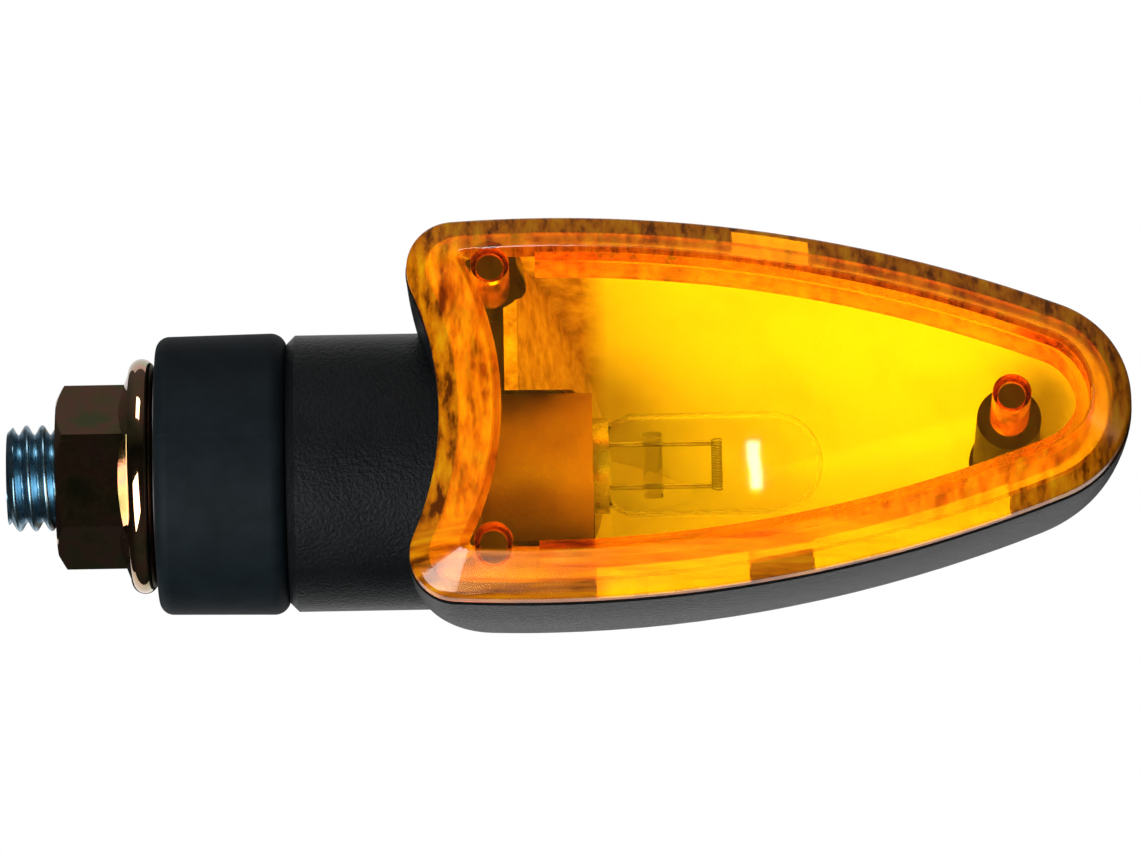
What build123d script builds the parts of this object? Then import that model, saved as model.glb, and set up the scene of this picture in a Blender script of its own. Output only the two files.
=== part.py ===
from build123d import *
import os
from math import radians, sqrt, tan

# A motorcycle turn signal on a hollow threaded stud, in millimetres.
# The origin is on the stud's axis, at the outer face of the rubber collar.
# +X runs along the stem to the tip of the lens, the lens faces -Y, and +Z is up.

# How far a cutting tool reaches past a face, half the size of one that takes everything,
# and how near an edge lies to a depth to count as on it
CUT = 1.0
REACH = 30.0
NEAR = 0.01

# Stud, nut and collar
THREAD_R = 5.0
STUD_TIP_X = -14.1
STUD_TIP_CHAMFER = 0.7
STUD_BORE_R = 2.9
STUD_RELIEF_R = 4.75
STUD_RELIEF_WIDTH = 0.7
STUD_HEAD_AF = 14.0
STUD_HEAD_THICKNESS = 3.0
STUD_FIT = 0.02
NUT_X = -9.4
NUT_AF = 15.0
NUT_SEAT_X = -0.1
NUT_RIM_R = 11.05
NUT_RIM_ROUND = 1.25
NUT_CHAMFER_R = 7.4
NUT_CHAMFER_DEGREES = 30.0
NUT_CONE_LENGTH = 0.9
NUT_FACE_DEGREES = 20.0
NUT_BORE_R = 5.06
WASHER_R = 10.9
WASHER_HOLE_R = 5.2
WASHER_THICKNESS = 1.0
COLLAR_R = 13.25
COLLAR_END_R = 13.05
COLLAR_LENGTH = 12.3
COLLAR_BORE_R = 5.08
COLLAR_OUTER_ROUND = 1.3
COLLAR_INNER_ROUND = 1.5
COLLAR_RECESS_R = 11.3

# Stem and head of the housing
STEM_R = 13.0
STEM_CHAMFER = 0.8
STEM_END_X = 33.0
STEM_BORE_R = 10.8
END_WALL = 3.1
POCKET_CLEARANCE = 0.2
MOUTH_R = 10.0
BULKHEAD_X = 26.5
BULKHEAD_THICKNESS = 2.5
WALL = 2.4
RIM_Y = -17.0
CROWN_X = 36.0
EDGE_R = 30.6
MIN_CORNER_R = 0.4

# The head's outline at a list of depths, from its rim to its back:
# depth y, half height, tip x, tip radius, hollow edge x, its radius, and corner radius.
HULL = [
    (RIM_Y, 18.6, 90.8, 9.9, 26.6, EDGE_R, 4.5),
    (-13.0, 18.45, 90.65, 9.8, 26.65, EDGE_R, 4.6),
    (-9.0, 18.1, 90.1, 9.6, 26.7, EDGE_R, 4.9),
    (-4.0, 17.2, 88.0, 9.2, 26.9, EDGE_R, 5.6),
    (1.0, 15.7, 83.0, 8.6, 27.3, EDGE_R, 6.4),
    (6.0, 13.6, 75.0, 7.6, 27.9, EDGE_R, 6.8),
    (10.3, 11.0, 65.0, 6.2, 28.7, EDGE_R, 6.2),
    (13.4, 8.0, 54.0, 4.6, 29.8, EDGE_R, 5.0),
]

# Lens and its seal
SEAL_THICKNESS = 0.6
SEAL_INSET = 0.45
LENS_EDGE_INSET = 0.1
LENS_EDGE_HEIGHT = 1.5
LENS_WALL_HEIGHT = 2.8
LENS_FACE = (14.75, 87.0, 6.0, 31.8, 30.0, 0.8)
LENS_THICKNESS = 1.8
LENS_INNER_INSET = 0.7
LENS_INNER_EDGE_HEIGHT = 1.0
LENS_FACE_ROUND = 0.45
LENS_SHOULDER_ROUND = 0.9
POST_R = 1.8
POST_END_Y = -12.5
POST_GAP = 0.2

# The lens's locating rib, a U just inside the reflector's rim
RIB_INSET = 4.0
RIB_THICKNESS = 1.1
RIB_START_X = 35.8
RIB_END_Y = -15.6

# Screws that hold the lens, as x and z of their axes
SCREW_PLACES = {"upper": (31.6, 13.4), "lower": (31.6, -13.4), "tip": (79.6, 0.0)}
SCREW_R = 1.25
SCREW_SEAT_Y = -8.5
SCREW_END_Y = -18.4
SCREW_HEAD_R = 2.4
SCREW_HEAD_HEIGHT = 1.6
SCREW_HEAD_ROUND = 0.7
SCREW_PILOT_DEPTH = 0.4
CROSS_ARM = 1.5
CROSS_HALF_WIDTH = 0.3
CROSS_DEPTH = 0.9
SCREW_HOLE_CLEARANCE = 0.2
SCREW_PILOT_CLEARANCE = 0.05
SCREW_BOSS_R = 3.0
SCREW_RECESS_R = 2.8

# Reflector
REFLECTOR_GAP = 0.35
REFLECTOR_WALL = 0.9
REFLECTOR_RIM_Y = -16.6
REFLECTOR_RIM_X = 32.8
REFLECTOR_FLOOR_X = 43.0
REFLECTOR_NOTCH_X = 41.0
REFLECTOR_BOSS_GAP = 0.35
REFLECTOR_BARREL_GAP = 0.35
REFLECTOR_NOTCH_DEGREES = 18.0

# The reflector's lugs, held between the housing's rim and the lens: their ends along X
LUG_INSET = 1.0
LUG_MARGIN = 0.1
LUG_ROOT = 0.5
LUG_GAP = 0.15
LUGS_ABOVE = [(54.0, 61.0)]
LUGS_BELOW = [(41.0, 55.0), (61.0, 79.0)]

# Bulb holder, with its shell, contact and spring
BARREL_R = 6.9
BARREL_X = (22.5, 40.9)
BARREL_REAR_WALL = 1.5
BARREL_FLANGE_R = 9.8
BARREL_FLANGE_THICKNESS = 1.4
SPIGOT_R = 8.3
SPIGOT_CLEARANCE = 0.05
SHELL_R = 5.15
SHELL_BORE_R = 4.6
SHELL_X = 25.0
PIN_SWEEP_R = 5.7
PIN_SWEEP_X = 33.0
LIVE_HOLE_R = 1.8
LIVE_HOLE_DEPTH = 3.0
DISC_R = 4.52
DISC_X = (27.4, 29.6)
PLUNGER_HEAD_R = 1.6
PLUNGER_SHANK_R = 1.0
PLUNGER_ROUND = 0.5
PLUNGER_REAR_X = 24.8
SPRING_R = 3.2
SPRING_WIRE_R = 0.28
SPRING_TURNS = 3
SPRING_GAP = 0.02
TAB_THICKNESS = 0.5
TAB_WIDTH = 2.2
TAB_END_X = 19.5
TAB_CLEARANCE = 0.1
TAB_HOLE_R = 0.6
TAB_HOLE_INSET = 1.2
EARTH_TAB_Z = 4.8

# Bulb
BULB_CONTACT_X = 30.8
BULB_CONTACT_R = 1.5
BULB_CONTACT_ROUND = 0.4
INSULATOR_THICKNESS = 1.6
BASE_R = 4.52
BASE_X = (31.6, 42.4)
BASE_WALL = 0.35
GLASS_R = 4.9
GLASS_NECK_R = 4.0
GLASS_WALL = 0.5
GLASS_TIP_X = 62.5
GLASS_FOOT_DEPTH = 3.0
GLASS_SWELL_LENGTH = 2.0
PIN_X = 37.2
PIN_R = 0.9
PIN_REACH = 5.5
PIN_ROOT = 1.5
SLOT_INNER = 2.0
SLOT_STEPS = 8
SLOT_CLEARANCE = 0.15
TWIST_DEGREES = 25.0
TWIST_PRESS = 1.5
FILAMENT_X = 52.0
FILAMENT_R = 0.55
FILAMENT_LENGTH = 5.0
FILAMENT_ROUND = 0.2
LEAD_R = 0.25
LEAD_Z = 2.1
BEAD_X = 46.5
BEAD_R = 0.9
BEAD_ROUND = 0.54


def tube(x_start, x_end, radius, hole=0.0):
    """A round piece along X, with a hole through it if one is given."""
    length = x_end - x_start
    face = Circle(radius)
    if hole:
        face -= Circle(hole)
    return extrude(Plane.YZ.offset(x_start) * face, length)


def rod(x, z, y_front, y_back, radius):
    """A round piece along Y, between two depths."""
    plane = Plane(origin=(x, y_back, z), x_dir=(1, 0, 0), z_dir=(0, -1, 0))
    return extrude(plane * Circle(radius), y_back - y_front)


def block(low, high):
    """A box between two corners."""
    size = [top - bottom for bottom, top in zip(low, high)]
    middle = [(top + bottom) / 2 for bottom, top in zip(low, high)]
    return Pos(*middle) * Box(*size)


def turned(points):
    """A piece turned about the X axis from (x, radius) points."""
    corners = [(x, 0, radius) for x, radius in points]
    return revolve(make_face(Polyline(*corners, close=True)), Axis.X)


def join(centre, other, radius):
    """The point of a circle about centre that lies in the direction of other."""
    return centre + (other - centre).normalized() * radius


def crossing(centre, radius, other, other_radius):
    """The upper of the two points where two circles meet."""
    apart = other - centre
    distance = apart.length
    along = (radius**2 - other_radius**2 + distance**2) / (2 * distance)
    across = sqrt(radius**2 - along**2)
    unit = apart / distance
    return centre + unit * along + Vector(-unit.Y, unit.X) * across


def outline(section, inset=0.0):
    """The head's outline as a face: six arcs, each tangent to the next, inset by a wall."""
    y, half_height, tip_x, tip_r, edge_x, edge_r, corner_r = section
    half_height -= inset
    tip_x -= inset
    tip_r -= inset
    edge_r += inset
    corner_r = max(corner_r - inset, MIN_CORNER_R)
    reach = tip_x - CROWN_X - tip_r
    flank_r = (reach**2 + half_height**2 - tip_r**2) / (2 * (half_height - tip_r))
    flank = Vector(CROWN_X, half_height - flank_r)
    tip = Vector(tip_x - tip_r, 0)
    edge = Vector(edge_x + inset - edge_r, 0)
    corner = crossing(edge, edge_r + corner_r, flank, flank_r - corner_r)
    tip_top = join(flank, tip, flank_r)
    flank_end = join(flank, corner, flank_r)
    edge_top = join(edge, corner, edge_r)
    crown = join(flank, (tip_top + flank_end) / 2, flank_r)
    turn = join(corner, (flank_end + edge_top) / 2, corner_r)

    def at(point, side=1):
        return (point.X, y, side * point.Y)

    arcs = [ThreePointArc(at(tip_top, -1), (tip_x, y, 0), at(tip_top))]
    arcs.append(ThreePointArc(at(tip_top), at(crown), at(flank_end)))
    arcs.append(ThreePointArc(at(flank_end), at(turn), at(edge_top)))
    arcs.append(ThreePointArc(at(edge_top), (edge_x + inset, y, 0), at(edge_top, -1)))
    arcs.append(ThreePointArc(at(edge_top, -1), at(turn, -1), at(flank_end, -1)))
    arcs.append(ThreePointArc(at(flank_end, -1), at(crown, -1), at(tip_top, -1)))
    return Face(Wire(arcs))


def at_depth(y):
    """The rim's outline moved to another depth."""
    return (y, *HULL[0][1:])


def slab(y_front, y_back, inset=0.0):
    """A straight plate of the rim's outline between two depths."""
    return extrude(outline(at_depth(y_back), inset), y_back - y_front, dir=(0, -1, 0))


def hull(inset=0.0, front_y=RIM_Y):
    """The head's solid body, or the cavity a wall's thickness inside it."""
    sections = [outline(at_depth(front_y), inset)]
    straight_y = HULL[2][0]
    for section in HULL[1:]:
        share = max(section[0] - straight_y, 0) / (HULL[-1][0] - straight_y)
        sections.append(outline((section[0] - inset * share, *section[1:]), inset))
    return loft(sections)


def make_stem():
    """The solid stem, chamfered where it meets the collar."""
    stem = tube(COLLAR_LENGTH, STEM_END_X, STEM_R)
    end_edges = stem.edges().filter_by(GeomType.CIRCLE).sort_by(Axis.X)[:1]
    return chamfer(end_edges, STEM_CHAMFER)


def stem_hollows():
    """What is cut from the stem: the stud's hole and hex pocket, its bore, and the barrel's mouth."""
    pocket_x = COLLAR_LENGTH + END_WALL
    bore_x = pocket_x + STUD_HEAD_THICKNESS + POCKET_CLEARANCE
    face_x = BULKHEAD_X + BULKHEAD_THICKNESS
    hexagon = RegularPolygon((STUD_HEAD_AF + POCKET_CLEARANCE) / sqrt(3), 6)
    hollows = tube(0, pocket_x + CUT, THREAD_R + STUD_FIT)
    hollows += extrude(Plane.YZ.offset(pocket_x) * hexagon, bore_x - pocket_x + CUT)
    hollows += tube(bore_x, BULKHEAD_X, STEM_BORE_R)
    hollows += tube(BULKHEAD_X - CUT, face_x + CUT, SPIGOT_R)
    return hollows + tube(face_x, STEM_END_X, MOUTH_R)


def make_housing():
    """The stem and head in one shell, with a bulkhead and three screw bosses inside."""
    back_y = HULL[-1][0]
    body = hull()
    shell = body + make_stem() - hull(WALL, RIM_Y - CUT)
    for x, z in SCREW_PLACES.values():
        shell += rod(x, z, POST_END_Y + POST_GAP, back_y, SCREW_BOSS_R) & body
    shell -= stem_hollows()
    for x, z in SCREW_PLACES.values():
        shell -= rod(x, z, RIM_Y, SCREW_SEAT_Y, SCREW_R + SCREW_HOLE_CLEARANCE)
        shell -= rod(x, z, SCREW_SEAT_Y, back_y + CUT, SCREW_RECESS_R)
    return shell


def along_lugs(ring, gap=0.0):
    """The stretches of a ring where the reflector's lugs are, with a gap at each end."""
    stretches = Part()
    for lugs, low_z, high_z in [(LUGS_ABOVE, 0, REACH), (LUGS_BELOW, -REACH, 0)]:
        for x_start, x_end in lugs:
            stretches += ring & block((x_start - gap, -REACH, low_z), (x_end + gap, 0, high_z))
    return stretches


def make_lens_seal():
    """The flat rubber gasket between the lens and the housing's rim, recessed for the lugs."""
    front_y = RIM_Y - SEAL_THICKNESS
    ring = slab(front_y, RIM_Y, SEAL_INSET)
    ring -= slab(front_y - CUT, RIM_Y + CUT, WALL)
    return ring - along_lugs(slab(front_y - CUT, RIM_Y + CUT, LUG_INSET - LUG_GAP), LUG_GAP)


def make_lens_rib(front_y):
    """The rib behind the lens's face that locates it in the reflector's rim."""
    rib = slab(front_y, RIB_END_Y, RIB_INSET)
    rib -= slab(front_y - CUT, RIB_END_Y + CUT, RIB_INSET + RIB_THICKNESS)
    return rib & block((RIB_START_X, -REACH, -REACH), (HULL[0][2], 0, REACH))


def make_lens_dish(shoulder_y, face_y, back_y):
    """The outside of the lens: an upright edge, sloping walls and a flat face, its edges rounded."""
    dish = slab(shoulder_y, back_y, LENS_EDGE_INSET)
    foot = outline(at_depth(shoulder_y), LENS_EDGE_INSET)
    dish += loft([foot, outline((face_y, *LENS_FACE))], ruled=True)
    dish = fillet(dish.edges().group_by(Axis.Y)[0], LENS_FACE_ROUND)
    shoulder = [edge for edge in dish.edges() if abs(edge.center().Y - shoulder_y) < NEAR]
    return fillet(shoulder, LENS_SHOULDER_ROUND)


def make_lens():
    """The amber dish, hollowed from behind, with its locating rib and three screw posts."""
    back_y = RIM_Y - SEAL_THICKNESS
    shoulder_y = back_y - LENS_EDGE_HEIGHT
    face_y = shoulder_y - LENS_WALL_HEIGHT
    inner_face_y = face_y + LENS_THICKNESS
    inner_shoulder_y = back_y - LENS_INNER_EDGE_HEIGHT
    middle_y = (face_y + inner_face_y) / 2
    dish = make_lens_dish(shoulder_y, face_y, back_y)
    dish -= slab(inner_shoulder_y, back_y + CUT, WALL)
    inner_foot = outline(at_depth(inner_shoulder_y), WALL)
    inner_face = outline((inner_face_y, *LENS_FACE), LENS_INNER_INSET)
    dish -= loft([inner_foot, inner_face], ruled=True)
    dish += make_lens_rib(middle_y)
    for x, z in SCREW_PLACES.values():
        dish += rod(x, z, middle_y, POST_END_Y, POST_R)
    for x, z in SCREW_PLACES.values():
        pilot_end_y = SCREW_END_Y - SCREW_PILOT_DEPTH
        dish -= rod(x, z, pilot_end_y, POST_END_Y + CUT, SCREW_R + SCREW_PILOT_CLEARANCE)
    return dish


def make_lens_screw(x, z):
    """A pan-head screw with a cross recess, driven from the back of the housing."""
    head_y = SCREW_SEAT_Y + SCREW_HEAD_HEIGHT
    floor_y = head_y - CROSS_DEPTH
    head = rod(x, z, SCREW_SEAT_Y, head_y, SCREW_HEAD_R)
    head = fillet(head.edges().sort_by(Axis.Y)[-1:], SCREW_HEAD_ROUND)
    screw = head + rod(x, z, SCREW_END_Y, SCREW_SEAT_Y, SCREW_R)
    for half_x, half_z in [(CROSS_ARM, CROSS_HALF_WIDTH), (CROSS_HALF_WIDTH, CROSS_ARM)]:
        screw -= block((x - half_x, floor_y, z - half_z), (x + half_x, head_y + CUT, z + half_z))
    return screw


def reflector_zone(inset):
    """Everything on the bright side of the reflector's sloping end, as a prism along Z."""
    rim_x = REFLECTOR_RIM_X + inset
    floor_x = REFLECTOR_FLOOR_X + inset
    far_x = HULL[0][2]
    back_y = HULL[-1][0]
    rim_y = REFLECTOR_RIM_Y - (CUT if inset else 0)
    corners = [(rim_x, rim_y), (floor_x, back_y), (far_x, back_y), (far_x, rim_y)]
    return extrude(make_face(Polyline(*corners, close=True)), REACH, both=True)


def reflector_lugs():
    """The lugs on the rim, each with a root that runs down into the bowl's wall."""
    front_y = RIM_Y - SEAL_THICKNESS
    root_y = REFLECTOR_RIM_Y + LUG_ROOT
    outer_inset = WALL + REFLECTOR_GAP + LUG_MARGIN
    inner_inset = WALL + REFLECTOR_GAP + REFLECTOR_WALL - LUG_MARGIN
    ring = slab(front_y, RIM_Y, LUG_INSET) + slab(RIM_Y, root_y, outer_inset)
    ring -= slab(front_y - CUT, root_y + CUT, inner_inset)
    return along_lugs(ring)


def make_reflector():
    """The bright bowl that lines the head, open round the barrel, in front, below and at the bosses."""
    back_y = HULL[-1][0]
    bowl = hull(WALL + REFLECTOR_GAP, RIM_Y - CUT) & reflector_zone(0)
    bowl -= hull(WALL + REFLECTOR_GAP + REFLECTOR_WALL, RIM_Y - CUT) & reflector_zone(REFLECTOR_WALL)
    hole_r = BARREL_R + REFLECTOR_BARREL_GAP
    bowl -= tube(0, REFLECTOR_FLOOR_X + REFLECTOR_WALL, hole_r)
    bowl -= block((0, -REACH, -REACH), (REFLECTOR_NOTCH_X, back_y, 0))
    front_notch = block((0, -REACH, -REACH), (REFLECTOR_NOTCH_X, 0, hole_r))
    bowl -= Rot(REFLECTOR_NOTCH_DEGREES, 0, 0) * front_notch
    for x, z in SCREW_PLACES.values():
        bowl -= rod(x, z, -REACH, back_y, SCREW_BOSS_R + REFLECTOR_BOSS_GAP)
    return bowl + reflector_lugs()


def make_socket_holder():
    """The plastic barrel that holds the bulb's shell, with its flange on the bulkhead."""
    rear_x, front_x = BARREL_X
    face_x = BULKHEAD_X + BULKHEAD_THICKNESS
    barrel = tube(rear_x, front_x, BARREL_R)
    barrel += tube(BULKHEAD_X, face_x, SPIGOT_R - SPIGOT_CLEARANCE)
    barrel += tube(face_x, face_x + BARREL_FLANGE_THICKNESS, BARREL_FLANGE_R)
    barrel -= tube(rear_x + BARREL_REAR_WALL, front_x, SHELL_R)
    barrel -= tube(PIN_SWEEP_X, front_x, PIN_SWEEP_R)
    barrel -= tube(rear_x - CUT, rear_x + LIVE_HOLE_DEPTH, LIVE_HOLE_R)
    half_width = TAB_WIDTH / 2 + TAB_CLEARANCE
    half_height = TAB_THICKNESS / 2 + TAB_CLEARANCE
    return barrel - block(
        (rear_x - CUT, -half_width, EARTH_TAB_Z - half_height),
        (SHELL_X, half_width, EARTH_TAB_Z + half_height),
    )


def make_socket_shell():
    """The metal sleeve with two bayonet slots, each a ramp and an entry channel."""
    front_x = BARREL_X[1]
    shell = tube(SHELL_X, front_x, SHELL_R, SHELL_BORE_R)
    slot_r = PIN_R + SLOT_CLEARANCE
    outer_y = -PIN_SWEEP_R - CUT
    for side in (0, 180):
        for step in range(SLOT_STEPS + 1):
            share = step / SLOT_STEPS
            turn = Rot(side + TWIST_DEGREES * share, 0, 0)
            hole = rod(PIN_X - TWIST_PRESS * share, 0, outer_y, -SLOT_INNER, slot_r)
            shell -= turn * hole
        channel = block(
            (PIN_X - TWIST_PRESS, outer_y, -slot_r), (front_x + CUT, -SLOT_INNER, slot_r)
        )
        shell -= Rot(side + TWIST_DEGREES, 0, 0) * channel
    return shell


def make_contact_disc():
    """The insulating disc that carries the live contact in the shell."""
    return tube(*DISC_X, DISC_R, PLUNGER_SHANK_R)


def make_contact_plunger():
    """The brass contact: a domed head on a shank through the disc."""
    head = tube(DISC_X[1], BULB_CONTACT_X, PLUNGER_HEAD_R)
    head = fillet(head.edges().sort_by(Axis.X)[-1:], PLUNGER_ROUND)
    return head + tube(PLUNGER_REAR_X, DISC_X[1], PLUNGER_SHANK_R)


def make_contact_spring():
    """The coil spring between the barrel's rear wall and the disc."""
    start = BARREL_X[0] + BARREL_REAR_WALL + SPRING_WIRE_R + SPRING_GAP
    length = DISC_X[0] - SPRING_WIRE_R - SPRING_GAP - start
    helix = Helix(length / SPRING_TURNS, length, SPRING_R, (start, 0, 0), (1, 0, 0))
    profile = Plane(origin=helix @ 0, z_dir=helix % 0) * Circle(SPRING_WIRE_R)
    return sweep(profile, path=helix, is_frenet=True)


def make_tab(x_end, z_middle):
    """A flat terminal for a lead."""
    half = TAB_WIDTH / 2
    thin = TAB_THICKNESS / 2
    tab = block((TAB_END_X, -half, z_middle - thin), (x_end, half, z_middle + thin))
    return tab - Pos(TAB_END_X + TAB_HOLE_INSET, 0, z_middle) * Cylinder(TAB_HOLE_R, TAB_WIDTH)


def make_bulb_base():
    """The bulb's metal cap with its two bayonet pins."""
    base = tube(*BASE_X, BASE_R)
    for side in (0, 180):
        pin = rod(PIN_X, 0, -PIN_REACH, -BASE_R + PIN_ROOT, PIN_R)
        base += Rot(side, 0, 0) * pin
    return base - tube(BASE_X[0], BASE_X[1], BASE_R - BASE_WALL)


def make_bulb_insulator():
    """The dark glass plug that closes the cap's end."""
    return tube(BASE_X[0], BASE_X[0] + INSULATOR_THICKNESS, BASE_R - BASE_WALL)


def make_bulb_contact():
    """The solder contact on the bulb's end."""
    pip = tube(BULB_CONTACT_X, BASE_X[0], BULB_CONTACT_R)
    return fillet(pip.edges().sort_by(Axis.X)[:1], BULB_CONTACT_ROUND)


def bulb_body(shrink):
    """The bulb's glass as a solid turned about its axis, shrunk by a wall's thickness."""
    radius = GLASS_R - shrink
    neck = GLASS_NECK_R - shrink
    tip_x = GLASS_TIP_X - shrink
    foot_x = BASE_X[1] - GLASS_FOOT_DEPTH + shrink
    swell_x = BASE_X[1] + GLASS_SWELL_LENGTH
    dome_x = tip_x - radius
    half = radius / sqrt(2)
    dome = ThreePointArc((dome_x, 0, radius), (dome_x + half, 0, half), (tip_x, 0, 0))
    rest = Polyline(
        (tip_x, 0, 0),
        (foot_x, 0, 0),
        (foot_x, 0, neck),
        (BASE_X[1], 0, neck),
        (swell_x, 0, radius),
        (dome_x, 0, radius),
    )
    return revolve(make_face([dome, rest]), Axis.X)


def make_bulb_glass():
    """The hollow glass envelope, closed at its foot."""
    return bulb_body(0) - bulb_body(GLASS_WALL)


def make_bulb_leads():
    """The two lead wires that carry the filament, up from the glass foot."""
    foot_x = BASE_X[1] - GLASS_FOOT_DEPTH + GLASS_WALL
    leads = Part()
    for side in (-1, 1):
        lead = tube(foot_x, FILAMENT_X, LEAD_R)
        leads += Pos(0, 0, side * LEAD_Z) * lead
    return leads


def make_bulb_bead():
    """The glass bead that ties the two leads together."""
    half = LEAD_Z + BEAD_R
    bead = block((BEAD_X - BEAD_R, -BEAD_R, -half), (BEAD_X + BEAD_R, BEAD_R, half))
    bead = fillet(bead.edges().filter_by(Axis.Z), BEAD_ROUND)
    return bead - make_bulb_leads()


def make_bulb_filament():
    """The coiled filament between the tops of the leads, as a solid of its outer size."""
    coil = Pos(FILAMENT_X + FILAMENT_R, 0, 0) * Cylinder(FILAMENT_R, FILAMENT_LENGTH)
    return fillet(coil.edges(), FILAMENT_ROUND)


def make_mounting_stud():
    """The hollow stud: an M10 shank with a relief just inside the nut, and a hex head."""
    head_x = COLLAR_LENGTH + END_WALL
    stud = tube(STUD_TIP_X, head_x, THREAD_R)
    stud = chamfer(stud.edges().sort_by(Axis.X)[:1], STUD_TIP_CHAMFER)
    hexagon = RegularPolygon(STUD_HEAD_AF / sqrt(3), 6)
    stud += extrude(Plane.YZ.offset(head_x) * hexagon, STUD_HEAD_THICKNESS)
    stud -= tube(NUT_X, NUT_X + STUD_RELIEF_WIDTH, THREAD_R + CUT, STUD_RELIEF_R)
    return stud - tube(STUD_TIP_X - CUT, head_x + STUD_HEAD_THICKNESS + CUT, STUD_BORE_R)


def make_rubber_collar():
    """The rubber spacer between the housing and whatever the signal is bolted to."""
    collar = turned(
        [(0, 0), (0, COLLAR_END_R), (COLLAR_LENGTH, COLLAR_R), (COLLAR_LENGTH, 0)]
    )
    rims = collar.edges().filter_by(GeomType.CIRCLE).sort_by(Axis.X)
    collar = fillet(rims[:1], COLLAR_OUTER_ROUND)
    rims = collar.edges().filter_by(GeomType.CIRCLE).sort_by(Axis.X)
    collar = fillet(rims[-1:], COLLAR_INNER_ROUND)
    recess_x = NUT_SEAT_X + WASHER_THICKNESS
    collar -= tube(-CUT, recess_x, COLLAR_RECESS_R)
    return collar - tube(-CUT, COLLAR_LENGTH + CUT, COLLAR_BORE_R)


def make_thrust_washer():
    """The plain washer under the nut, sunk in the collar's face."""
    return tube(NUT_SEAT_X, NUT_SEAT_X + WASHER_THICKNESS, WASHER_R, WASHER_HOLE_R)


def nut_flange():
    """The nut's wide flange, solid: a cone up to a round rim."""
    rim_mid = NUT_RIM_R - NUT_RIM_ROUND
    rim_top_x = NUT_SEAT_X - 2 * NUT_RIM_ROUND
    cone_x = rim_top_x - NUT_CONE_LENGTH
    side = Polyline(
        (NUT_SEAT_X, 0, rim_mid),
        (NUT_SEAT_X, 0, 0),
        (cone_x, 0, 0),
        (cone_x, 0, NUT_AF / 2),
        (rim_top_x, 0, rim_mid),
    )
    crest = (NUT_SEAT_X - NUT_RIM_ROUND, 0, NUT_RIM_R)
    rim = ThreePointArc((rim_top_x, 0, rim_mid), crest, (NUT_SEAT_X, 0, rim_mid))
    return revolve(make_face(side + rim), Axis.X)


def make_flange_nut():
    """The hex nut with its wide round-edged flange, a flat turned a little below the front."""
    corner_r = NUT_AF / sqrt(3)
    hexagon = RegularPolygon(corner_r, 6, rotation=30)
    hex_body = extrude(Plane.YZ.offset(NUT_X) * hexagon, NUT_SEAT_X - NUT_RIM_ROUND - NUT_X)
    chamfer_x = NUT_X + (corner_r - NUT_CHAMFER_R) * tan(radians(NUT_CHAMFER_DEGREES))
    hex_body &= turned(
        [(NUT_X, 0), (NUT_X, NUT_CHAMFER_R), (chamfer_x, corner_r), (0, corner_r), (0, 0)]
    )
    nut = hex_body + nut_flange() - tube(NUT_X - CUT, 0, NUT_BORE_R)
    return Rot(NUT_FACE_DEGREES, 0, 0) * nut


def make_all():
    """Every piece by its node name."""
    pieces = {
        "housing": make_housing(),
        "lens": make_lens(),
        "lens_seal": make_lens_seal(),
        "reflector": make_reflector(),
        "socket_holder": make_socket_holder(),
        "socket_shell": make_socket_shell(),
        "contact_disc": make_contact_disc(),
        "contact_plunger": make_contact_plunger(),
        "contact_spring": make_contact_spring(),
        "live_terminal": make_tab(PLUNGER_REAR_X, 0),
        "earth_terminal": make_tab(SHELL_X, EARTH_TAB_Z),
        "bulb_base": make_bulb_base(),
        "bulb_insulator": make_bulb_insulator(),
        "bulb_contact": make_bulb_contact(),
        "bulb_glass": make_bulb_glass(),
        "bulb_leads": make_bulb_leads(),
        "bulb_bead": make_bulb_bead(),
        "bulb_filament": make_bulb_filament(),
        "mounting_stud": make_mounting_stud(),
        "rubber_collar": make_rubber_collar(),
        "thrust_washer": make_thrust_washer(),
        "flange_nut": make_flange_nut(),
    }
    for place, (x, z) in SCREW_PLACES.items():
        pieces["lens_screw_" + place] = make_lens_screw(x, z)
    return pieces


os.makedirs("parts", exist_ok=True)
for node, piece in make_all().items():
    export_step(piece, f"parts/{node}.step")
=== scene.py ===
"""Looks of the motorcycle turn signal: materials, the threaded stud, studio light and the camera."""
import bpy
from math import cos, pi, radians, sin
from mathutils import Matrix, Vector


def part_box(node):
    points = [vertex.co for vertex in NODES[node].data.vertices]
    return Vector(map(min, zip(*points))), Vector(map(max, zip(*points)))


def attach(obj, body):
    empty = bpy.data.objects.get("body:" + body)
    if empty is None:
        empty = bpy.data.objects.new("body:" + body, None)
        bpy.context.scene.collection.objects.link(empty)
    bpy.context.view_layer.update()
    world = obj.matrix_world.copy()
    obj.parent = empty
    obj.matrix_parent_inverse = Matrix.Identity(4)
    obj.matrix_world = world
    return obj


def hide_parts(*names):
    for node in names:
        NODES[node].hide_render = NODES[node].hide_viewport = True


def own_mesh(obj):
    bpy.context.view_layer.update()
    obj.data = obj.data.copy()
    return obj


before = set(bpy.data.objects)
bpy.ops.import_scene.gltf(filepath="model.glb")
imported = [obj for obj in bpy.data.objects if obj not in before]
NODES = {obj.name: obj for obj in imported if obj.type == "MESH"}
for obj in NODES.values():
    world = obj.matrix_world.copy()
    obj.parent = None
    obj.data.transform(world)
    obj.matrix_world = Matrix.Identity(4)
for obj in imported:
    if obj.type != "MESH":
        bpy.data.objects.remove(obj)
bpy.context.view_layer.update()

MM = 0.001

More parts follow.
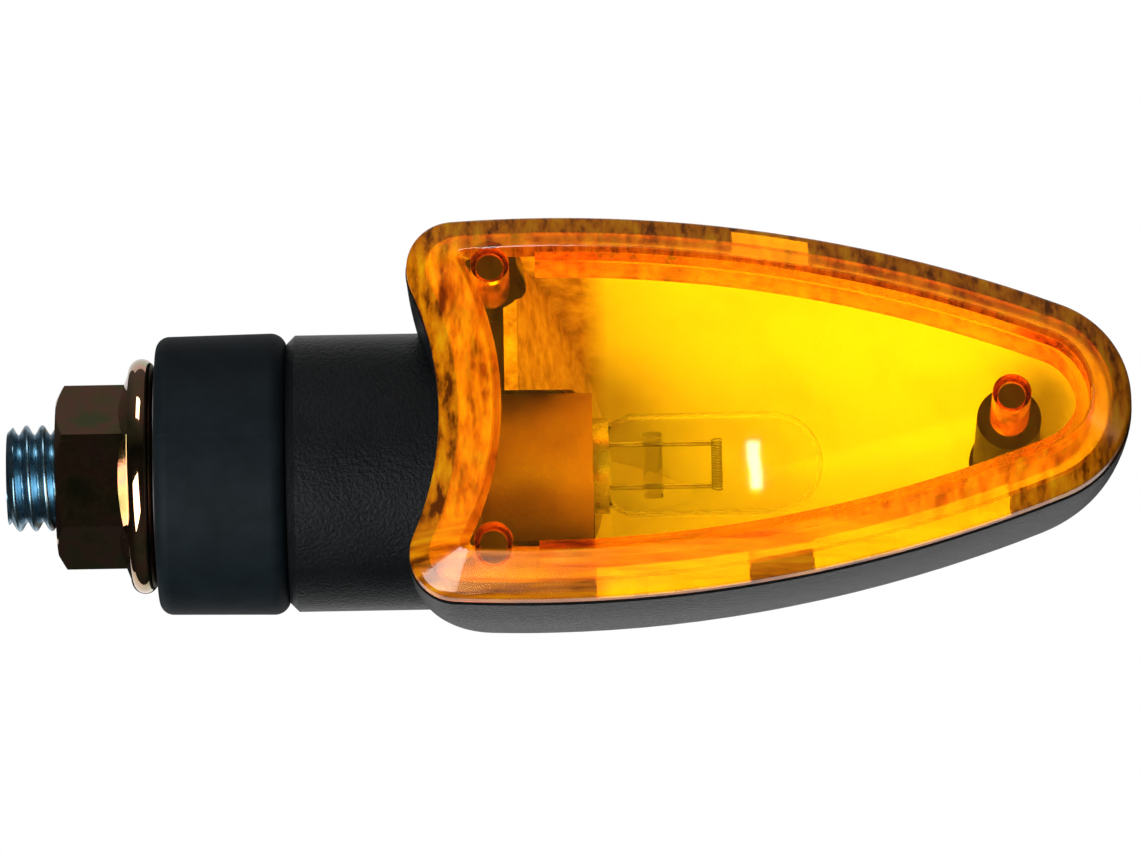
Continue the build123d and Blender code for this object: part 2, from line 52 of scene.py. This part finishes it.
# Camera, in metres and degrees, with its sensor in millimetres: it looks up at the part from
# below, square to its length
VIEW_ELEVATION = -18.0
VIEW_ROLL = 1.0
VIEW_DISTANCE = 1.0
VIEW_WIDTH = 0.1072
AIM_X = 0.0388
AIM_UP = 0.0039
SENSOR_WIDTH = 36.0
CAMERA_NEAR = 0.05
CAMERA_FAR = 30.0

# The lamps point at the part's middle. Each has its azimuth and elevation in degrees, its distance
# in metres, its width and height in metres, and its watts
MIDDLE = (0.039, 0.0, 0.0)
LAMPS = {
    "key": (-40, -36, 0.6, (0.54, 0.48), 8.5),
    "fill": (-20, 52, 0.7, (0.3, 0.3), 2.4),
    "side": (60, 5, 0.8, (0.25, 0.4), 0.8),
    "back": (180, 42, 0.9, (0.8, 0.8), 1.6),
    "backdrop": (180, -12, 1.0, (1.4, 0.6), 3.2),
    "glint": (2.02, 17.0, 1.0, (0.0021, 0.0088), 0.0008),
}
# The surroundings' brightness by height, from straight down to straight up, and the least that
# it is where it shows through glass
SURROUND = [(0.0, 0.06), (0.3, 0.02), (0.6, 0.015), (0.95, 0.13)]
SURROUND_THROUGH_GLASS = 0.35

# The stud and its thread, in millimetres. A crest power under 1 makes the crests fuller
PITCH = 1.5
THREAD_R = 5.0
THREAD_ROOT_R = 4.1
THREAD_END_X = 1.0
THREAD_STEPS = 24
CREST_POWER = 0.8
STUD_BORE_R = 2.9
STUD_MOUTH = 0.3
STUD_CHAMFER = 0.7
STUD_HEAD_AF = 14.0
STUD_HEAD_X = 15.4
STUD_AROUND = 96
SHARP_EDGE_DEGREES = 50

# The heights off the middle plane where the collar's parting line is full and where it is gone,
# in millimetres
PARTING_LINE_Z = (0.04, 0.22)

# Where the painted shade on the reflector's end round the bulb holder goes from full to gone along X, in
# millimetres
SHADED_END_X = (40.0, 42.5)

# The heights between which the lens's streaks go from level to upright, in millimetres
LEVEL_STREAKS_Z = (-12.5, -10.5)

# The lens's plastic. Its roughness and cloudiness are given for its walls and for its face, and go
# from one to the other over FACE_ON, the size of the normal's Y component
POLYCARBONATE_IOR = 1.585
FACE_ON = (0.9, 0.995)
LENS_ROUGHNESS = (0.16, 0.013)
LENS_CLOUDINESS = (0.38, 0.02)
LENS_DENSITY = 1100.0

# The bulb's glass. Lower than glass's own index, because so thin a wall hardly bends light
THIN_GLASS_IOR = 1.1

# The contact spring and the bulb's filament, in millimetres
SPRING_R = 3.2
SPRING_WIRE_R = 0.28
SPRING_TURNS = 3.6
FILAMENT_WIRE_R = 0.07
FILAMENT_TURNS = 19
FILAMENT_STEPS = 16
FILAMENT_SIDES = 6

# The components of a point or a normal
X, Y, Z = range(3)


def shader_tree(name):
    """A new material, its node tree and its Principled shader."""
    mat = bpy.data.materials.new(name)
    mat.use_nodes = True
    tree = mat.node_tree
    return mat, tree, tree.nodes["Principled BSDF"]


def add(tree, kind, **values):
    """A shader node of a kind, with its attributes by name."""
    node = tree.nodes.new("ShaderNode" + kind)
    for key, value in values.items():
        setattr(node, key, value)
    return node


def math_node(tree, operation, *values):
    """A math node over numbers or sockets."""
    node = add(tree, "Math", operation=operation)
    for index, value in enumerate(values):
        if isinstance(value, (int, float)):
            node.inputs[index].default_value = value
        else:
            tree.links.new(value, node.inputs[index])
    return node.outputs[0]


def coordinate(tree, axis, kind="Object"):
    """One component of a point's place in metres, or of its normal."""
    split = add(tree, "SeparateXYZ")
    tree.links.new(add(tree, "TexCoord").outputs[kind], split.inputs[0])
    return split.outputs[axis]


def noise(tree, scale, detail=3.0, roughness=0.5, squeeze=(1, 1, 1)):
    """Noise from 0 to 1 with features about 1/scale metres across, narrower where squeezed."""
    node = add(tree, "TexNoise")
    node.inputs["Scale"].default_value = scale
    node.inputs["Detail"].default_value = detail
    node.inputs["Roughness"].default_value = roughness
    place = add(tree, "Mapping")
    place.inputs["Scale"].default_value = squeeze
    tree.links.new(add(tree, "TexCoord").outputs["Object"], place.inputs["Vector"])
    tree.links.new(place.outputs[0], node.inputs["Vector"])
    return node.outputs["Fac"]


def ramp(tree, value, stops):
    """A colour ramp over a value. stops are (place, colour) pairs."""
    node = add(tree, "ValToRGB")
    elements = node.color_ramp.elements
    while len(elements) < len(stops):
        elements.new(0.5)
    for element, (place, colour) in zip(elements, stops):
        element.position = place
        element.color = (*colour, 1)
    tree.links.new(value, node.inputs[0])
    return node.outputs[0]


def two_tone(dark, light):
    """A ramp's stops for a drift between two colours."""
    return [(0.3, dark), (0.7, light)]


def spread(tree, value, low, high, start=0.0, end=1.0):
    """A value from start to end mapped to run from low to high."""
    node = add(tree, "MapRange")
    for name, number in [("From Min", start), ("From Max", end), ("To Min", low), ("To Max", high)]:
        node.inputs[name].default_value = number
    tree.links.new(value, node.inputs["Value"])
    return node.outputs[0]


def blend(tree, first, second, share, colour=False):
    """The first value or colour, going over to the second as share goes from 0 to 1.

    A Mix node has its own sockets for each kind of data, so they are told apart by number.
    """
    mix = add(tree, "Mix", data_type="RGBA" if colour else "FLOAT")
    first_in, second_in, mixed_out = (6, 7, 2) if colour else (2, 3, 0)
    tree.links.new(share, mix.inputs[0])
    tree.links.new(first, mix.inputs[first_in])
    tree.links.new(second, mix.inputs[second_in])
    return mix.outputs[mixed_out]


def bump(tree, shader, height, strength, distance):
    """A bump map, its height in metres at full strength."""
    node = add(tree, "Bump")
    node.inputs["Strength"].default_value = strength
    node.inputs["Distance"].default_value = distance
    tree.links.new(height, node.inputs["Height"])
    tree.links.new(node.outputs[0], shader.inputs["Normal"])


def moulded(name, dark, light, gloss, grain=2400, depth=0.0001, specular=0.5):
    """Moulded plastic: a fine spark-eroded grain, with slightly uneven colour and gloss."""
    mat, tree, shader = shader_tree(name)
    fine = noise(tree, grain, detail=4, roughness=0.6)
    broad = noise(tree, 160, detail=2)
    tree.links.new(ramp(tree, broad, two_tone(dark, light)), shader.inputs["Base Color"])
    tree.links.new(spread(tree, fine, *gloss), shader.inputs["Roughness"])
    shader.inputs["Specular IOR Level"].default_value = specular
    bump(tree, shader, fine, strength=0.6, distance=depth)
    return mat


def collar_rubber():
    """Matte rubber with a fine bloom, and the mould's parting line along its middle plane."""
    mat, tree, shader = shader_tree("collar_rubber")
    fine = noise(tree, 4200, detail=5, roughness=0.65)
    bloom = noise(tree, 420, detail=4, roughness=0.6)
    colours = [(0.25, (0.0022, 0.004, 0.0052)), (0.8, (0.0042, 0.0074, 0.0096))]
    tree.links.new(ramp(tree, bloom, colours), shader.inputs["Base Color"])
    tree.links.new(spread(tree, fine, 0.5, 0.75), shader.inputs["Roughness"])
    shader.inputs["Specular IOR Level"].default_value = 0.06
    from_line = math_node(tree, "ABSOLUTE", coordinate(tree, Z))
    full, gone = [z * MM for z in PARTING_LINE_Z]
    line = spread(tree, from_line, 0.5, 0.0, full, gone)
    grain = math_node(tree, "MULTIPLY", fine, 0.5)
    relief = math_node(tree, "ADD", grain, line)
    bump(tree, shader, relief, strength=0.5, distance=0.00012)
    return mat


def plated(name, stops, gloss, scale=300, depth=0.000004, grain=2600):
    """A plated or passivated metal whose colour drifts over the surface."""
    mat, tree, shader = shader_tree(name)
    drift = noise(tree, scale, detail=3, roughness=0.55)
    fine = noise(tree, grain, detail=3, roughness=0.6)
    tree.links.new(ramp(tree, drift, stops), shader.inputs["Base Color"])
    tree.links.new(spread(tree, fine, *gloss), shader.inputs["Roughness"])
    shader.inputs["Metallic"].default_value = 1.0
    bump(tree, shader, fine, strength=0.3, distance=depth)
    return mat


def satin_reflector():
    """Satin silver lacquer, with painted shade on its end round the bulb holder, which is coloured a
    darker, mottled brown.
    """
    mat, tree, shader = shader_tree("satin_silver")
    fine = noise(tree, 700, detail=4, roughness=0.6)
    mottle = noise(tree, 450, detail=4, roughness=0.7)
    broad = noise(tree, 130, detail=4, roughness=0.65)
    bright = ramp(tree, broad, [(0.32, (0.9, 0.86, 0.83)), (0.5, (0.93,) * 3), (0.7, (0.95,) * 3)])
    # Painted shade: the end round the bulb holder, turned away from the key lamp, is coloured a darker,
    # mottled brown instead of silver
    shaded_stops = [(0.32, (0.3, 0.14, 0.06)), (0.5, (0.6, 0.35, 0.2)), (0.72, (0.85, 0.62, 0.42))]
    painted_shade = ramp(tree, mottle, shaded_stops)
    shade_full_to, shade_gone_from = [x * MM for x in SHADED_END_X]
    painted_shade_mask = spread(tree, coordinate(tree, X), 1.0, 0.0, shade_full_to, shade_gone_from)
    tree.links.new(blend(tree, bright, painted_shade, painted_shade_mask, colour=True), shader.inputs["Base Color"])
    tree.links.new(spread(tree, fine, 0.45, 0.65), shader.inputs["Roughness"])
    shader.inputs["Metallic"].default_value = 0.2
    bump(tree, shader, fine, strength=0.5, distance=0.00012)
    return mat


def lets_lamps_through(tree, shader, tint):
    """Joins a glass shader to the output so that light from lamps passes it, tinted, unbent."""
    clear = add(tree, "BsdfTransparent")
    clear.inputs[0].default_value = (*tint, 1)
    mix = add(tree, "MixShader")
    tree.links.new(add(tree, "LightPath").outputs["Is Shadow Ray"], mix.inputs[0])
    tree.links.new(shader, mix.inputs[1])
    tree.links.new(clear.outputs[0], mix.inputs[2])
    tree.links.new(mix.outputs[0], tree.nodes["Material Output"].inputs["Surface"])


def polish_lens(tree, glass, facing):
    """The lens's clear plastic: glossy on its face, duller on its walls, and slightly wavy."""
    glass.inputs["Base Color"].default_value = (1.0, 0.96, 0.5, 1)
    glass.inputs["Transmission Weight"].default_value = 1.0
    glass.inputs["IOR"].default_value = POLYCARBONATE_IOR
    glass.inputs["Specular IOR Level"].default_value = 0.32
    waves = noise(tree, 260, detail=2, roughness=0.4)
    polish = spread(tree, facing, *LENS_ROUGHNESS, *FACE_ON)
    drift = spread(tree, waves, 0.5, 1.5)
    tree.links.new(math_node(tree, "MULTIPLY", polish, drift), glass.inputs["Roughness"])
    bump(tree, glass, waves, strength=0.1, distance=0.00001)


def lens_cloud(tree):
    """The streaky amber that clouds the walls: upright streaks, but level ones low down."""
    cloud = add(tree, "BsdfPrincipled")
    upright = noise(tree, 260, detail=4, roughness=0.65, squeeze=(3, 1, 1))
    level = noise(tree, 170, detail=4, roughness=0.65, squeeze=(0.4, 1, 5))
    level_up_to, upright_from = [z * MM for z in LEVEL_STREAKS_Z]
    low_down = spread(tree, coordinate(tree, Z), 1.0, 0.0, level_up_to, upright_from)
    streaks = blend(tree, upright, level, low_down)
    colours = [(0.36, (0.12, 0.015, 0.0005)), (0.5, (0.75, 0.19, 0.001)), (0.68, (1.0, 0.42, 0.002))]
    tree.links.new(ramp(tree, streaks, colours), cloud.inputs["Base Color"])
    cloud.inputs["Roughness"].default_value = 0.5
    cloud.inputs["Specular IOR Level"].default_value = 0.0
    return cloud


def amber_lens():
    """Amber polycarbonate: clear on the face, cloudier on the walls, and deeper in colour where thick."""
    mat, tree, glass = shader_tree("amber_polycarbonate")
    facing = math_node(tree, "ABSOLUTE", coordinate(tree, Y, "Normal"))
    polish_lens(tree, glass, facing)
    body = add(tree, "MixShader")
    tree.links.new(spread(tree, facing, *LENS_CLOUDINESS, *FACE_ON), body.inputs[0])
    tree.links.new(glass.outputs[0], body.inputs[1])
    tree.links.new(lens_cloud(tree).outputs[0], body.inputs[2])
    lets_lamps_through(tree, body.outputs[0], (1.0, 0.94, 0.1))
    depth = add(tree, "VolumeAbsorption")
    depth.inputs["Color"].default_value = (0.997, 0.89, 0.0, 1)
    depth.inputs["Density"].default_value = LENS_DENSITY
    tree.links.new(depth.outputs[0], tree.nodes["Material Output"].inputs["Volume"])
    return mat


def clear_glass():
    """The bulb's thin clear glass."""
    mat, tree, glass = shader_tree("bulb_glass_clear")
    glass.inputs["Base Color"].default_value = (1.0, 1.0, 1.0, 1)
    glass.inputs["Transmission Weight"].default_value = 1.0
    glass.inputs["IOR"].default_value = THIN_GLASS_IOR
    tree.links.new(spread(tree, noise(tree, 300), 0.0, 0.03), glass.inputs["Roughness"])
    lets_lamps_through(tree, glass.outputs[0], (1.0, 1.0, 1.0))
    return mat


def wear(node, mat):
    """Puts a material on a CAD node."""
    piece = NODES[node]
    if not piece.material_slots:
        piece.data.materials.append(mat)
    for slot in piece.material_slots:
        slot.link = "OBJECT"
        slot.material = mat


def mesh_piece(name, verts, faces, mat):
    """A new smooth mesh object from points in millimetres."""
    mesh = bpy.data.meshes.new(name)
    mesh.from_pydata([[part * MM for part in vert] for vert in verts], [], faces)
    mesh.materials.append(mat)
    mesh.shade_smooth()
    piece = bpy.data.objects.new(name, mesh)
    bpy.context.scene.collection.objects.link(piece)
    return piece


def ring_faces(rows, around, closed):
    """Faces that join rings of points in order, and the last to the first if closed."""
    faces = []
    for row in range(rows if closed else rows - 1):
        after = (row + 1) % rows
        for here in range(around):
            beside = (here + 1) % around
            quad = (row * around + here, after * around + here)
            faces.append(quad + (after * around + beside, row * around + beside))
    return faces


def hex_radius(angle, across_flats):
    """A hexagon's radius at an angle, with a corner at angle 0."""
    return across_flats / 2 / cos(angle % (pi / 3) - pi / 6)


def thread_radius(x, angle):
    """A right-hand thread's radius at a place along X and an angle about it."""
    turn = (x / PITCH - angle / (2 * pi)) % 1.0
    ridge = 0.5 - 0.5 * cos(2 * pi * turn)
    return THREAD_ROOT_R + (THREAD_R - THREAD_ROOT_R) * ridge**CREST_POWER


def stud_rings(tip_x, end_x):
    """The stud's rings, from its bore out over the free end to the back of its head."""
    step = PITCH / THREAD_STEPS
    rings = [(end_x, "bore"), (tip_x + STUD_MOUTH, "bore"), (tip_x, "mouth"), (tip_x, "end")]
    for count in range(1, int((THREAD_END_X - tip_x) / step)):
        rings.append((tip_x + count * step, "thread"))
    rings.append((THREAD_END_X + step, "shank"))
    rings.append((STUD_HEAD_X, "shank"))
    return rings + [(STUD_HEAD_X, "hex"), (end_x, "hex")]


def stud_radius(kind, x, angle, tip_x):
    """The radius of a point on one of the stud's rings."""
    if kind in ("bore", "mouth"):
        return STUD_BORE_R + (STUD_MOUTH if kind == "mouth" else 0)
    if kind == "hex":
        return hex_radius(angle, STUD_HEAD_AF)
    if kind == "shank":
        return THREAD_R
    chamfer = THREAD_R - STUD_CHAMFER + x - tip_x
    return min(thread_radius(x, angle), chamfer)


def threaded_stud(mat):
    """The hollow stud with its helical thread."""
    low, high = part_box("mounting_stud")
    tip_x = low[0] / MM
    rings = stud_rings(tip_x, high[0] / MM)
    verts = []
    for x, kind in rings:
        for count in range(STUD_AROUND):
            angle = 2 * pi * count / STUD_AROUND
            radius = stud_radius(kind, x, angle, tip_x)
            verts.append((x, radius * cos(angle), radius * sin(angle)))
    piece = mesh_piece("threaded_stud", verts, ring_faces(len(rings), STUD_AROUND, True), mat)
    piece.data.set_sharp_from_angle(angle=radians(SHARP_EDGE_DEGREES))
    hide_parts("mounting_stud")
    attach(piece, "head")


def coil_mesh(name, mat, start, along, radius, wire_r, length, turns, per_turn=24, sides=10):
    """A closed wire coil about an axis: start is its middle at one end, along is "X" or "Z"."""
    steps = int(turns * per_turn)
    rise = length / (2 * pi * radius * turns)
    verts = []
    for step in range(steps + 1):
        share = step / steps
        angle = 2 * pi * turns * share
        out = (cos(angle), sin(angle))
        for side in range(sides):
            turn = 2 * pi * side / sides
            far = radius + wire_r * cos(turn)
            lift = wire_r * sin(turn)
            level = length * share + lift
            slip = -lift * rise
            flat = (far * out[0] - slip * out[1], far * out[1] + slip * out[0])
            verts.append((level, *flat) if along == "X" else (flat[0], flat[1], level))
    verts = [[a + b for a, b in zip(start, vert)] for vert in verts]
    faces = ring_faces(steps + 1, sides, False)
    faces.append(tuple(range(sides)))
    faces.append(tuple(steps * sides + side for side in reversed(range(sides))))
    return mesh_piece(name, verts, faces, mat)


def spring_coil(mat):
    """The contact spring, which shortens as the contact is pressed."""
    low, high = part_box("contact_spring")
    start_x = low[0] / MM + SPRING_WIRE_R
    length = high[0] / MM - SPRING_WIRE_R - start_x
    piece = coil_mesh(
        "spring_coil", mat, (start_x, 0, 0), "X", SPRING_R, SPRING_WIRE_R, length, SPRING_TURNS
    )
    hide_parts("contact_spring")
    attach(piece, "head")
    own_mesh(piece)


def filament_coil(mat):
    """The bulb's coiled filament."""
    low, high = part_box("bulb_filament")
    radius = (high[0] - low[0]) / 2 / MM - FILAMENT_WIRE_R
    middle_x = (high[0] + low[0]) / 2 / MM
    start_z = low[2] / MM + FILAMENT_WIRE_R
    length = high[2] / MM - FILAMENT_WIRE_R - start_z
    piece = coil_mesh(
        "filament_coil", mat, (middle_x, 0, start_z), "Z", radius, FILAMENT_WIRE_R, length,
        FILAMENT_TURNS, FILAMENT_STEPS, FILAMENT_SIDES,
    )
    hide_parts("bulb_filament")
    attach(piece, "bulb")


def lamp(name, azimuth, elevation, distance, size, watts):
    """A soft rectangular lamp in a direction from the part's middle, turned to it."""
    around, up = radians(azimuth), radians(elevation)
    away = Vector((sin(around) * cos(up), -cos(around) * cos(up), sin(up)))
    data = bpy.data.lights.new(name, "AREA")
    data.shape = "RECTANGLE"
    data.size, data.size_y = size
    data.energy = watts
    light = bpy.data.objects.new(name, data)
    bpy.context.scene.collection.objects.link(light)
    light.location = Vector(MIDDLE) + away * distance
    light.rotation_mode = "QUATERNION"
    light.rotation_quaternion = away.to_track_quat("Z", "Y")


def surroundings():
    """White where the camera sees them, and otherwise dim, brightest overhead."""
    world = bpy.data.worlds.new("studio")
    bpy.context.scene.world = world
    world.use_nodes = True
    tree = world.node_tree
    background = tree.nodes["Background"]
    height = spread(tree, coordinate(tree, Z, "Generated"), 0.0, 1.0, -1.0, 1.0)
    dim = ramp(tree, height, [(place, (level,) * 3) for place, level in SURROUND])
    path = add(tree, "LightPath")
    through = math_node(
        tree, "MULTIPLY", path.outputs["Is Transmission Ray"], SURROUND_THROUGH_GLASS
    )
    lit = math_node(tree, "MAXIMUM", through, dim)
    shown = math_node(tree, "MAXIMUM", path.outputs["Is Camera Ray"], lit)
    tree.links.new(shown, background.inputs["Strength"])
    background.inputs["Color"].default_value = (1, 1, 1, 1)


def camera():
    """The camera, below the part and square to its length, with a long lens."""
    tilt, roll = radians(VIEW_ELEVATION), radians(VIEW_ROLL)
    back = Vector((0, -cos(tilt), sin(tilt)))
    across = Vector((1, 0, 0))
    up = back.cross(across)
    data = bpy.data.cameras.new("camera")
    data.sensor_width = SENSOR_WIDTH
    data.lens = SENSOR_WIDTH * VIEW_DISTANCE / VIEW_WIDTH
    data.clip_start = CAMERA_NEAR
    data.clip_end = CAMERA_FAR
    cam = bpy.data.objects.new("camera", data)
    bpy.context.scene.collection.objects.link(cam)
    right = across * cos(roll) - up * sin(roll)
    top = up * cos(roll) + across * sin(roll)
    turn = Matrix((right, top, back)).transposed().to_4x4()
    aim = Vector((AIM_X, 0, 0)) + up * AIM_UP
    cam.matrix_world = Matrix.Translation(aim + back * VIEW_DISTANCE) @ turn
    bpy.context.scene.camera = cam


def dress_plastics():
    """The mouldings, rubber, boards and glass."""
    black = [(0.0024, 0.0029, 0.0032), (0.0044, 0.0052, 0.0058)]
    brown = [(0.26, 0.11, 0.04), (0.42, 0.2, 0.08)]
    board = [(0.2, 0.1, 0.045), (0.32, 0.17, 0.08)]
    vitrite = [(0.004, 0.004, 0.008), (0.01, 0.01, 0.016)]
    rubber = [(0.008,) * 3, (0.014,) * 3]
    case = moulded("housing_plastic", *black, (0.24, 0.4), grain=2800, depth=0.0003, specular=0.06)
    wear("housing", case)
    wear("socket_holder", moulded("holder_plastic", *brown, (0.3, 0.5), grain=1800))
    wear("contact_disc", moulded("insulating_board", *board, (0.45, 0.7), grain=900))
    wear("lens_seal", moulded("seal_rubber", *rubber, (0.6, 0.8), grain=2200))
    wear("bulb_insulator", moulded("vitrite", *vitrite, (0.08, 0.2), grain=900))
    wear("rubber_collar", collar_rubber())
    wear("lens", amber_lens())
    glass = clear_glass()
    for node in ("bulb_glass", "bulb_bead"):
        wear(node, glass)


def dress_metals():
    """The plated, bright and blackened metals."""
    wear("reflector", satin_reflector())
    steel = plated("tinned_steel", two_tone((0.42, 0.42, 0.41), (0.62, 0.61, 0.58)), (0.25, 0.45))
    brass = plated("brass", two_tone((0.6, 0.42, 0.15), (0.75, 0.56, 0.25)), (0.2, 0.4))
    black = plated("black_plated_steel", two_tone((0.03, 0.03, 0.032), (0.06, 0.06, 0.065)), (0.3, 0.5))
    nickel = plated("nickelled_cap", two_tone((0.5, 0.47, 0.42), (0.68, 0.65, 0.6)), (0.2, 0.38))
    lead = plated("nickel_wire", two_tone((0.45, 0.45, 0.46), (0.62, 0.62, 0.63)), (0.18, 0.3))
    solder = plated("solder", two_tone((0.4, 0.4, 0.41), (0.6, 0.6, 0.61)), (0.35, 0.55), scale=900)
    passivated = [
        (0.28, (0.18, 0.17, 0.08)),
        (0.42, (0.36, 0.26, 0.12)),
        (0.54, (0.46, 0.22, 0.15)),
        (0.66, (0.28, 0.27, 0.11)),
        (0.80, (0.20, 0.24, 0.15)),
    ]
    nut = plated("yellow_passivated_zinc", passivated, (0.02, 0.09), scale=230, depth=0.000008)
    dressed = {
        steel: ("socket_shell", "earth_terminal"),
        brass: ("contact_plunger", "live_terminal"),
        black: ("thrust_washer", "lens_screw_upper", "lens_screw_lower", "lens_screw_tip"),
        nickel: ("bulb_base",),
        lead: ("bulb_leads",),
        solder: ("bulb_contact",),
        nut: ("flange_nut",),
    }
    for mat, nodes in dressed.items():
        for node in nodes:
            wear(node, mat)


def detailed_pieces():
    """The pieces that stand for plain CAD ones."""
    blue = two_tone((0.08, 0.17, 0.24), (0.2, 0.34, 0.42))
    bright = two_tone((0.45, 0.45, 0.46), (0.62, 0.62, 0.63))
    grey = two_tone((0.36, 0.36, 0.37), (0.5, 0.5, 0.51))
    threaded_stud(plated("blue_passivated_zinc", blue, (0.2, 0.38), scale=400))
    spring_coil(plated("spring_steel", bright, (0.18, 0.3)))
    filament_coil(plated("tungsten", grey, (0.3, 0.5), scale=2000))


bpy.context.scene.view_settings.view_transform = "Standard"
dress_plastics()
dress_metals()
detailed_pieces()
surroundings()
for lamp_name, placing in LAMPS.items():
    lamp(lamp_name, *placing)
camera()
